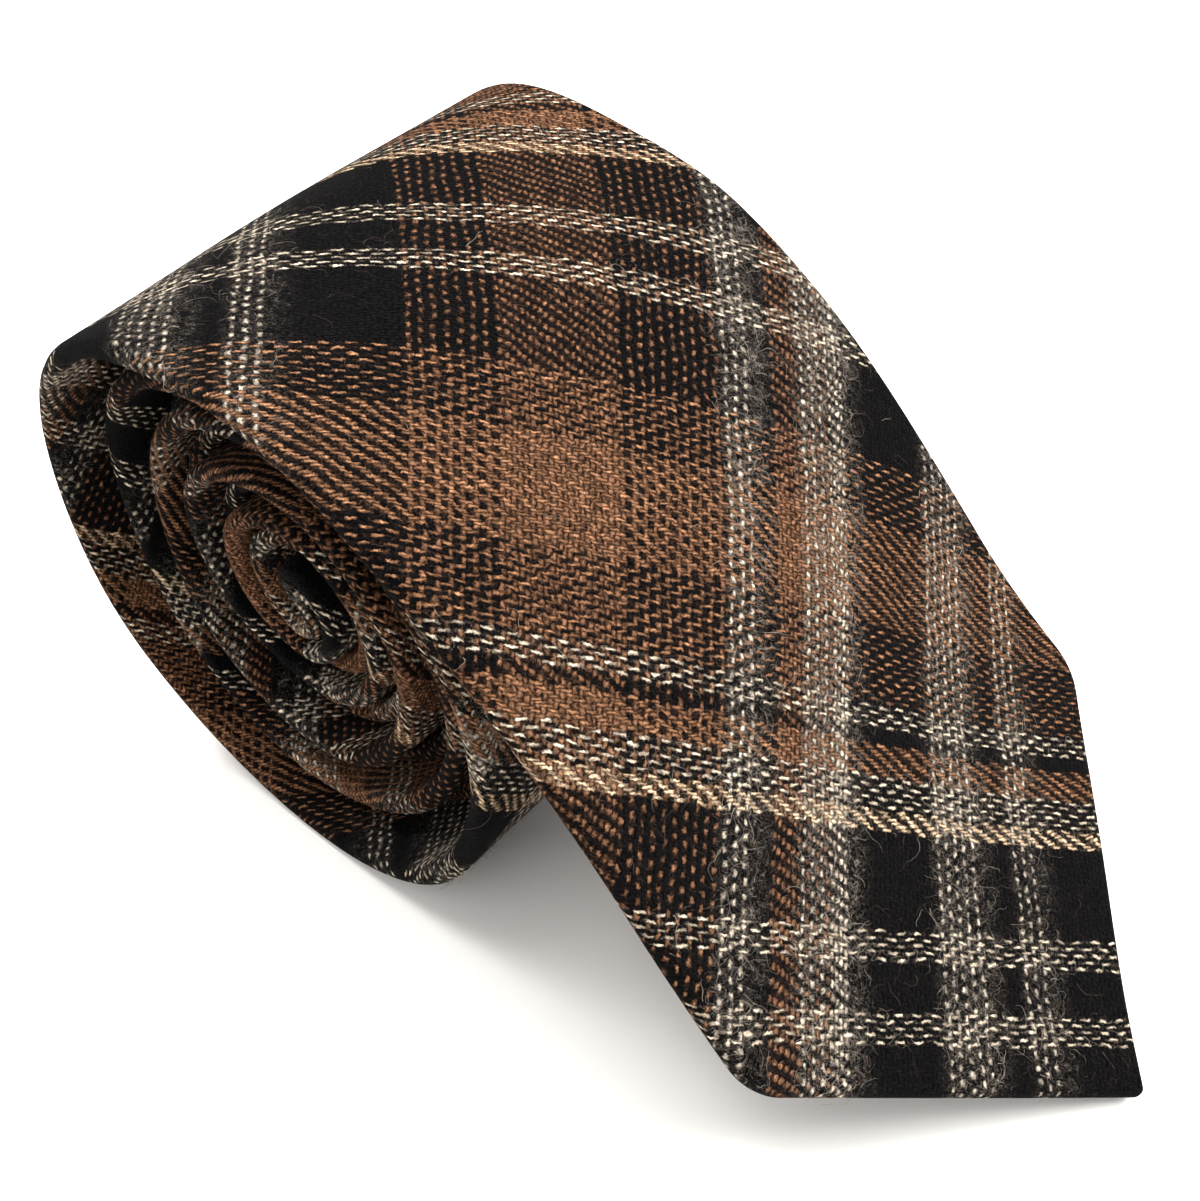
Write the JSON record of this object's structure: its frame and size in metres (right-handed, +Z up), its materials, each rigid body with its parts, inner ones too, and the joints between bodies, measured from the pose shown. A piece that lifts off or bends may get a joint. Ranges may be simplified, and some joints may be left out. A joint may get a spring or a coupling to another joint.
{
  "type": "necktie",
  "caption": "Plaid flannel necktie, folded once and rolled up, with the wide pointed blade falling free at the front; the blade lifts at the roll and again behind its point.",
  "frame": {"origin": "bottom centre of the whole rolled tie, on the surface it rests on", "axes": "+X along the roll, across the tie; +Y from the falling blade back through the roll; +Z up"},
  "size_m": [0.0764, 0.1434, 0.0779],
  "materials": {
    "plaid_flannel": "brushed cotton flannel in a 2/2 twill plaid",
    "interlining": "brushed wool-blend interlining",
    "lining": "woven satin lining",
    "thread": "twisted sewing thread",
    "label": "woven satin ribbon, blank"
  },
  "bodies": {
    "roll": {"blade_shell_rolled": "plaid_flannel", "neck_shell": "plaid_flannel", "tail_shell": "plaid_flannel", "keeper_loop": "plaid_flannel", "interlining_rolled": "interlining", "tail_tipping": "lining", "slip_stitch_rolled": "thread", "tail_bar_tack": "thread", "blade_neck_seam": "thread", "neck_tail_seam": "thread", "keeper_loop_tacks": "thread", "maker_label_stitches": "thread", "care_label_stitches": "thread", "maker_label": "label", "care_label": "label"},
    "blade_fall": {"blade_shell_fall": "plaid_flannel", "interlining_fall": "interlining", "blade_bar_tack": "thread", "slip_stitch_fall": "thread"},
    "blade_tip": {"blade_shell_tip": "plaid_flannel", "interlining_tip": "interlining", "blade_tipping": "lining"}
  },
  "joints": [
    {"name": "blade_lift", "type": "hinge", "parent": "roll", "child": "blade_fall", "pos_m": [0, 0.01378, 0.07312], "axis": [-1, 0, 0], "range_deg": [0, 60]},
    {"name": "tip_lift", "type": "hinge", "parent": "blade_fall", "child": "blade_tip", "pos_m": [0, -0.02595, 0.03979], "axis": [-1, 0, 0], "range_deg": [0, 45]}
  ]
}
